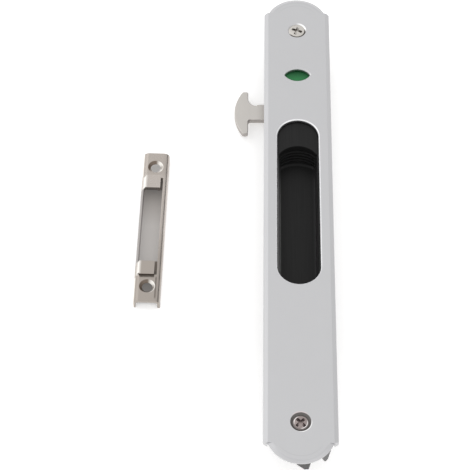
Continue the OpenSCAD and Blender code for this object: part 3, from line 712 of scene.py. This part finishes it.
PLASTICS = {
    "white_nylon": dict(colour=(0.72, 0.72, 0.68), rough=0.5, grain=0.2 * MM, depth=0.005 * MM),
    "black_nylon": dict(
        colour=(0.008, 0.008, 0.008), rough=0.42, grain=0.15 * MM, depth=0.01 * MM, gloss=0.2, streak=0.5,
        # Painted light on the scoop's left side
        zones=[(lit_scoop_flank, (0.10, 0.10, 0.10)), (scoop_wall, (0.03, 0.03, 0.03)),
               (scoop_foot, (0.03, 0.03, 0.03))]),
    "green_plastic": dict(
        colour=(0.035, 0.2, 0.07), rough=0.3, grain=0.3 * MM, depth=0.004 * MM, gloss=0.15,
        zones=[(tile_shade, (0.004, 0.05, 0.015))]),
    "red_plastic": dict(colour=(0.45, 0.02, 0.01), rough=0.3, grain=0.3 * MM, depth=0.004 * MM),
    "rubber": dict(colour=(0.02, 0.02, 0.02), rough=0.75, grain=0.15 * MM, depth=0.02 * MM, gloss=0.3),
}
MATERIALS = {name: metal(name, **look) for name, look in METALS.items()}
MATERIALS.update({name: plastic(name, **look) for name, look in PLASTICS.items()})


# Pieces with rounded edges

def finish_piece(piece, node):
    """Gives a new piece its node's body, material and slot, in its place."""
    piece.data.materials.clear()
    piece.data.materials.append(MATERIALS[SLOT_OF[node]])
    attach(piece, BODY_OF[node])
    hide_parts(node)
    return piece


def dressed(node, width, chosen):
    """A node's solid as a piece of its own, with the chosen edges rounded."""
    work = bmesh.new()
    work.from_mesh(nodes[node].data)
    bmesh.ops.remove_doubles(work, verts=work.verts, dist=WELD)
    bmesh.ops.dissolve_limit(work, angle_limit=FLAT, verts=work.verts, edges=work.edges)
    weight = work.edges.layers.float.new("bevel_weight_edge")
    for edge in work.edges:
        if edge.calc_face_angle(0) < SHARP:
            continue
        if chosen(edge):
            edge[weight] = 1
        else:
            edge.smooth = False
    mesh = bpy.data.meshes.new("dressed_" + node)
    work.to_mesh(mesh)
    work.free()
    piece = bpy.data.objects.new(mesh.name, mesh)
    bpy.context.scene.collection.objects.link(piece)
    rounding = add_rounding(piece, width, 3)
    rounding.limit_method = "WEIGHT"
    rounding.miter_outer = "MITER_ARC"
    apply_modifiers(piece)
    return finish_piece(piece, node)


def add_rounding(piece, width, segments):
    rounding = piece.modifiers.new("rounding", "BEVEL")
    rounding.width = width
    rounding.segments = segments
    rounding.use_clamp_overlap = False
    rounding.face_strength_mode = "FSTR_AFFECTED"
    return rounding


def apply_modifiers(piece):
    """Makes the modified mesh final and lets its flats keep their normals."""
    for face in piece.data.polygons:
        face.use_smooth = True
    weighting = piece.modifiers.new("weighting", "WEIGHTED_NORMAL")
    weighting.keep_sharp = True
    weighting.use_face_influence = True
    bpy.context.view_layer.update()
    graph = bpy.context.evaluated_depsgraph_get()
    final = bpy.data.meshes.new_from_object(piece.evaluated_get(graph))
    piece.modifiers.clear()
    final.name = piece.name
    level_flats(final)
    piece.data = final


def level_flats(mesh):
    """Straightens the corner normals that lean too far on a face that isn't tiny."""
    normals = []
    for face in mesh.polygons:
        limit = BROAD_LEAN if face.area > BROAD_AREA else SMALL_LEAN
        for i in face.loop_indices:
            corner = mesh.corner_normals[i].vector.copy()
            leaning = face.area > LEAST_AREA and corner.angle(face.normal, 0) > limit
            normals.append(face.normal.copy() if leaning else corner)
    mesh.normals_split_custom_set(normals)


def every_edge(edge):
    return True


def plate_edge(edge):
    return edge.is_convex


def scoop_edge(edge):
    """Edges of the handle up to the end of its scoop."""
    return edge.verts[0].co.y < SCOOP_END


def lug_edge(edge):
    """Edges of the case's end lugs and spurs."""
    return abs(edge.verts[0].co.y) > LUGS_START


def keeper_edge(edge):
    """The keeper's wide edges, without its left wall beside the window."""
    place = (edge.verts[0].co + edge.verts[1].co) / 2
    low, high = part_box("keeper")
    off_middle = abs(place.y - (low.y + high.y) / 2)
    beside_window = place.x < low.x + KEEPER_WALL and off_middle < KEEPER_WINDOW_HALF
    smaller = min(face.calc_area() for face in edge.link_faces)
    narrow = smaller < 2.2 * KEEPER_ROUNDING * MM * edge.calc_length()
    return not beside_window and not narrow


# Width of each node's rounding in millimetres, and the edges that get it
ROUNDED = {
    "face_plate": (0.15, plate_edge),
    "slide_handle": (0.15, scoop_edge),
    "hook": (0.3, every_edge),
    "keeper": (KEEPER_ROUNDING, keeper_edge),
    "lock_case": (0.15, lug_edge),
    "case_rivets": (0.12, every_edge),
    "pivot_pin": (0.1, every_edge),
    "pivot_washer": (0.08, every_edge),
    "pivot_clip": (0.06, every_edge),
    "end_block": (0.15, every_edge),
    "spring_rod": (0.1, every_edge),
    "rubber_bumper": (0.3, every_edge),
    "indicator_green": (0.06, every_edge),
    "indicator_red": (0.06, every_edge),
    "guide_rail_left": (0.08, every_edge),
    "guide_rail_right": (0.08, every_edge),
    "drive_bar": (0.12, every_edge),
    "bar_screws": (0.08, every_edge),
    "drive_pin": (0.1, every_edge),
    "hook_bush": (0.08, every_edge),
}


# Pieces with a finer shape

def new_object(name, vertices, faces):
    mesh = bpy.data.meshes.new(name)
    mesh.from_pydata(vertices, [], faces)
    mesh.validate()
    work = bmesh.new()
    work.from_mesh(mesh)
    bmesh.ops.recalc_face_normals(work, faces=work.faces)
    work.to_mesh(mesh)
    work.free()
    piece = bpy.data.objects.new(name, mesh)
    bpy.context.scene.collection.objects.link(piece)
    return piece


def ring_faces(rings, sides):
    """Quads between rings of vertices, numbered ring after ring, and the two end caps."""
    faces = []
    for i in range(rings - 1):
        for k in range(sides):
            n = (k + 1) % sides
            faces.append((i * sides + k, i * sides + n, (i + 1) * sides + n, (i + 1) * sides + k))
    faces.append(tuple(range(sides))[::-1])
    faces.append(tuple((rings - 1) * sides + k for k in range(sides)))
    return faces


def lathe(name, profile, sides):
    """A closed turned solid from (radius, height) pairs, from low to high."""
    vertices = []
    for radius, height in profile:
        for k in range(sides):
            turn = 2 * math.pi * k / sides
            vertices.append((radius * math.cos(turn), radius * math.sin(turn), height))
    return new_object(name, vertices, ring_faces(len(profile), sides))


def threaded_rod(low, high):
    """A rod with a helical thread that runs out at both ends."""
    vertices = []
    rings = round((high - low) / THREAD_PITCH * RINGS_PER_TURN) + 1
    for i in range(rings):
        height = low + (high - low) * i / (rings - 1)
        rise = min(1, (height - low) / (1.5 * THREAD_PITCH), (high - height) / (0.8 * THREAD_PITCH))
        for k in range(ROD_SIDES):
            turn = 2 * math.pi * k / ROD_SIDES
            phase = (height / THREAD_PITCH - k / ROD_SIDES) % 1
            ridge = 1 - abs(2 * phase - 1)
            radius = THREAD_ROOT + (THREAD_R - THREAD_ROOT) * max(0, rise) * min(1, 1.25 * ridge)
            vertices.append((radius * math.cos(turn), radius * math.sin(turn), height))
    return new_object("rod", vertices, ring_faces(rings, ROD_SIDES))


def cross_cutter(top, turn):
    """A tapered cross that is cut into a screw head."""
    work = bmesh.new()
    for arm in (0, math.pi / 2):
        corners = []
        for step in (-1, 0, 1):
            grow = 1 + CROSS_TAPER * step
            half_l = CROSS_LENGTH / 2 * grow
            half_w = CROSS_WIDTH / 2 * (0.7 + 0.3 * grow)
            for x, y in ((half_l, half_w), (-half_l, half_w), (-half_l, -half_w), (half_l, -half_w)):
                corner = Vector((x, y, top + CROSS_DEPTH * step))
                corners.append(work.verts.new(Matrix.Rotation(turn + arm, 4, "Z") @ corner))
        for i in (0, 4):
            for k in range(4):
                n = (k + 1) % 4
                work.faces.new((corners[i + k], corners[i + n], corners[i + 4 + n], corners[i + 4 + k]))
        work.faces.new(corners[3::-1])
        work.faces.new(corners[8:12])
    bmesh.ops.recalc_face_normals(work, faces=work.faces)
    mesh = bpy.data.meshes.new("cutter")
    work.to_mesh(mesh)
    work.free()
    cutter = bpy.data.objects.new("cutter", mesh)
    bpy.context.scene.collection.objects.link(cutter)
    return cutter


def screw_head(node, head_r, top, turn):
    """A crowned countersunk head with a cross recess, on the screw's neck."""
    rim = top - CROWN
    crown_r = (head_r ** 2 + CROWN ** 2) / (2 * CROWN)
    flat_r = head_r - HEAD_EDGE * 0.3
    profile = [(NECK_R, THREAD_TOP - HEAD_EDGE), (NECK_R, rim - (head_r - NECK_R))]
    profile += [(head_r - HEAD_EDGE, rim - HEAD_EDGE), (head_r, rim - HEAD_EDGE * 0.4), (flat_r, rim)]
    for i in range(1, CROWN_STEPS + 1):
        radius = max(CROWN_MIDDLE, flat_r * (1 - i / CROWN_STEPS))
        profile.append((radius, top - crown_r + math.sqrt(crown_r ** 2 - radius ** 2)))
    head = lathe("dressed_" + node, profile, HEAD_SIDES)
    cutter = cross_cutter(top, turn)
    cut = head.modifiers.new("cut", "BOOLEAN")
    cut.operation = "DIFFERENCE"
    cut.solver = "EXACT"
    cut.use_self = True
    cut.object = cutter
    rounding = add_rounding(head, 0.05 * MM, 2)
    rounding.limit_method = "ANGLE"
    rounding.angle_limit = math.radians(35)
    apply_modifiers(head)
    bpy.data.objects.remove(cutter)
    return head


def face_screw(node, turn):
    """A countersunk screw: head with its neck, thread and pointed tip."""
    low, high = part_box(node)
    centre = (low + high) / 2
    head = screw_head(node, (high.x - low.x) / 2, high.z, turn)
    root = low.z + TIP_LEN
    rod = threaded_rod(root, THREAD_TOP)
    profile = [(THREAD_R * 0.45, low.z), (THREAD_R * 0.6, low.z + TIP_STEP)]
    profile += [(THREAD_ROOT, root), (THREAD_R * 0.7, root + TIP_STEP)]
    tip = lathe("tip", profile, ROD_SIDES)
    for part in (rod, tip):
        part.data.shade_smooth()
        level_flats(part.data)
    with bpy.context.temp_override(active_object=head, selected_editable_objects=[head, rod, tip]):
        bpy.ops.object.join()
    head.location = (centre.x, centre.y, 0)
    return finish_piece(head, node)


def coil(node):
    """A smooth compression spring with closed ends."""
    low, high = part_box(node)
    centre = (low + high) / 2
    coil_r = (high.x - low.x) / 2 - WIRE_R
    length = high.y - low.y
    steps = STEPS_PER_TURN * COIL_TURNS
    closed = 1 / COIL_TURNS
    span = 2 * WIRE_R / (length - 2 * WIRE_R)
    vertices = []
    for i in range(steps + 1):
        share = i / steps
        turn = 2 * math.pi * COIL_TURNS * share
        if share < closed:
            along = share / closed * span
        elif share > 1 - closed:
            along = 1 - (1 - share) / closed * span
        else:
            along = span + (share - closed) / (1 - 2 * closed) * (1 - 2 * span)
        y = low.y + WIRE_R + (length - 2 * WIRE_R) * along
        for k in range(WIRE_SIDES):
            side = 2 * math.pi * k / WIRE_SIDES
            radius = coil_r + WIRE_R * math.cos(side)
            vertices.append((centre.x + radius * math.cos(turn), y + WIRE_R * math.sin(side),
                             centre.z + radius * math.sin(turn)))
    spring = new_object("dressed_" + node, vertices, ring_faces(steps + 1, WIRE_SIDES))
    spring.data.shade_smooth()
    finish_piece(spring, node)
    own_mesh(spring)


# Floor, light and camera

def make_floor():
    """A pale floor that keeps the object's shadow and glows a little to the
    camera and in reflections."""
    mesh = bpy.data.meshes.new("floor")
    corners = [(x * FLOOR_HALF, y * FLOOR_HALF, 0) for x, y in ((-1, -1), (1, -1), (1, 1), (-1, 1))]
    mesh.from_pydata(corners, [], [(0, 1, 2, 3)])
    floor = bpy.data.objects.new("floor", mesh)
    floor.location.z = cad_low.z - FLOOR_GAP
    bpy.context.scene.collection.objects.link(floor)
    material = bpy.data.materials.new("floor")
    material.use_nodes = True
    tree = material.node_tree
    tree.nodes.clear()
    output = tree.nodes.new("ShaderNodeOutputMaterial")
    shade = keeper_shade(tree)
    diffuse = tree.nodes.new("ShaderNodeBsdfDiffuse")
    tree.links.new(mix_colour(tree, shade, FLOOR_COLOUR, SHADE_COLOUR), diffuse.inputs["Color"])
    glow = tree.nodes.new("ShaderNodeEmission")
    glow.inputs["Color"].default_value = (1, 1, 1, 1)
    ray = tree.nodes.new("ShaderNodeLightPath")
    seen = either(tree, ray.outputs["Is Camera Ray"], ray.outputs["Is Glossy Ray"])
    lit = remap(tree, shade, 0, 1, FLOOR_GLOW, 0)
    tree.links.new(both(tree, seen, lit), glow.inputs["Strength"])
    add = tree.nodes.new("ShaderNodeAddShader")
    tree.links.new(diffuse.outputs["BSDF"], add.inputs[0])
    tree.links.new(glow.outputs["Emission"], add.inputs[1])
    tree.links.new(add.outputs["Shader"], output.inputs["Surface"])
    mesh.materials.append(material)


def make_world():
    """White to the camera, an even sky that lights the object, and studio walls
    in its reflections."""
    world = bpy.data.worlds.new("studio")
    bpy.context.scene.world = world
    world.use_nodes = True
    tree = world.node_tree
    tree.nodes.clear()
    output = tree.nodes.new("ShaderNodeOutputWorld")
    background = tree.nodes.new("ShaderNodeBackground")
    background.inputs["Color"].default_value = (1, 1, 1, 1)
    ray = tree.nodes.new("ShaderNodeLightPath")
    place = tree.nodes.new("ShaderNodeTexCoord")
    across = remap(tree, axis_value(tree, place.outputs["Generated"], "X"), -1, 1, 0, 1)
    walls = tree.nodes.new("ShaderNodeFloatCurve")
    curve = walls.mapping.curves[0]
    while len(curve.points) < len(WALLS):
        curve.points.new(0.5, 0.5)
    for point, (share, level) in zip(curve.points, WALLS):
        point.location = (share, level / 2)
    walls.mapping.update()
    tree.links.new(across, walls.inputs["Value"])
    glossy = both(tree, walls.outputs["Value"], 2)
    strength = mix_value(tree, ray.outputs["Is Glossy Ray"], SKY, glossy)
    open_view = either(tree, ray.outputs["Is Camera Ray"], ray.outputs["Is Transmission Ray"])
    strength = mix_value(tree, open_view, strength, 1)
    tree.links.new(strength, background.inputs["Strength"])
    tree.links.new(background.outputs["Background"], output.inputs["Surface"])


def soft_light(name, place, power):
    """A square lamp that faces the origin."""
    data = bpy.data.lights.new(name, "AREA")
    data.shape = "SQUARE"
    data.size = LAMP_SIZE
    data.energy = power
    lamp = bpy.data.objects.new(name, data)
    lamp.location = place
    lamp.rotation_mode = "QUATERNION"
    lamp.rotation_quaternion = (-Vector(place)).to_track_quat("-Z", "Y")
    bpy.context.scene.collection.objects.link(lamp)


def make_camera():
    data = bpy.data.cameras.new("camera")
    data.sensor_width = SENSOR
    data.lens = SENSOR * FOCAL_PIXELS / PHOTO_PIXELS
    data.clip_start = 0.01
    camera = bpy.data.objects.new("camera", data)
    camera.location = CAMERA_PLACE
    camera.rotation_euler = (CAMERA_TILT, 0, CAMERA_YAW)
    bpy.context.scene.collection.objects.link(camera)
    bpy.context.scene.camera = camera


# The object and its studio

for node, (width, chosen) in ROUNDED.items():
    dressed(node, width * MM, chosen)
face_screw("face_screw_top", math.radians(70))
face_screw("face_screw_bottom", math.radians(45))
coil("return_spring")

make_floor()
make_world()
soft_light("key", (-0.9, 0.5, 1.0), 1.4)
soft_light("fill", (0.9, -0.6, 1.0), 0.7)
make_camera()
bpy.context.scene.view_settings.view_transform = "Standard"
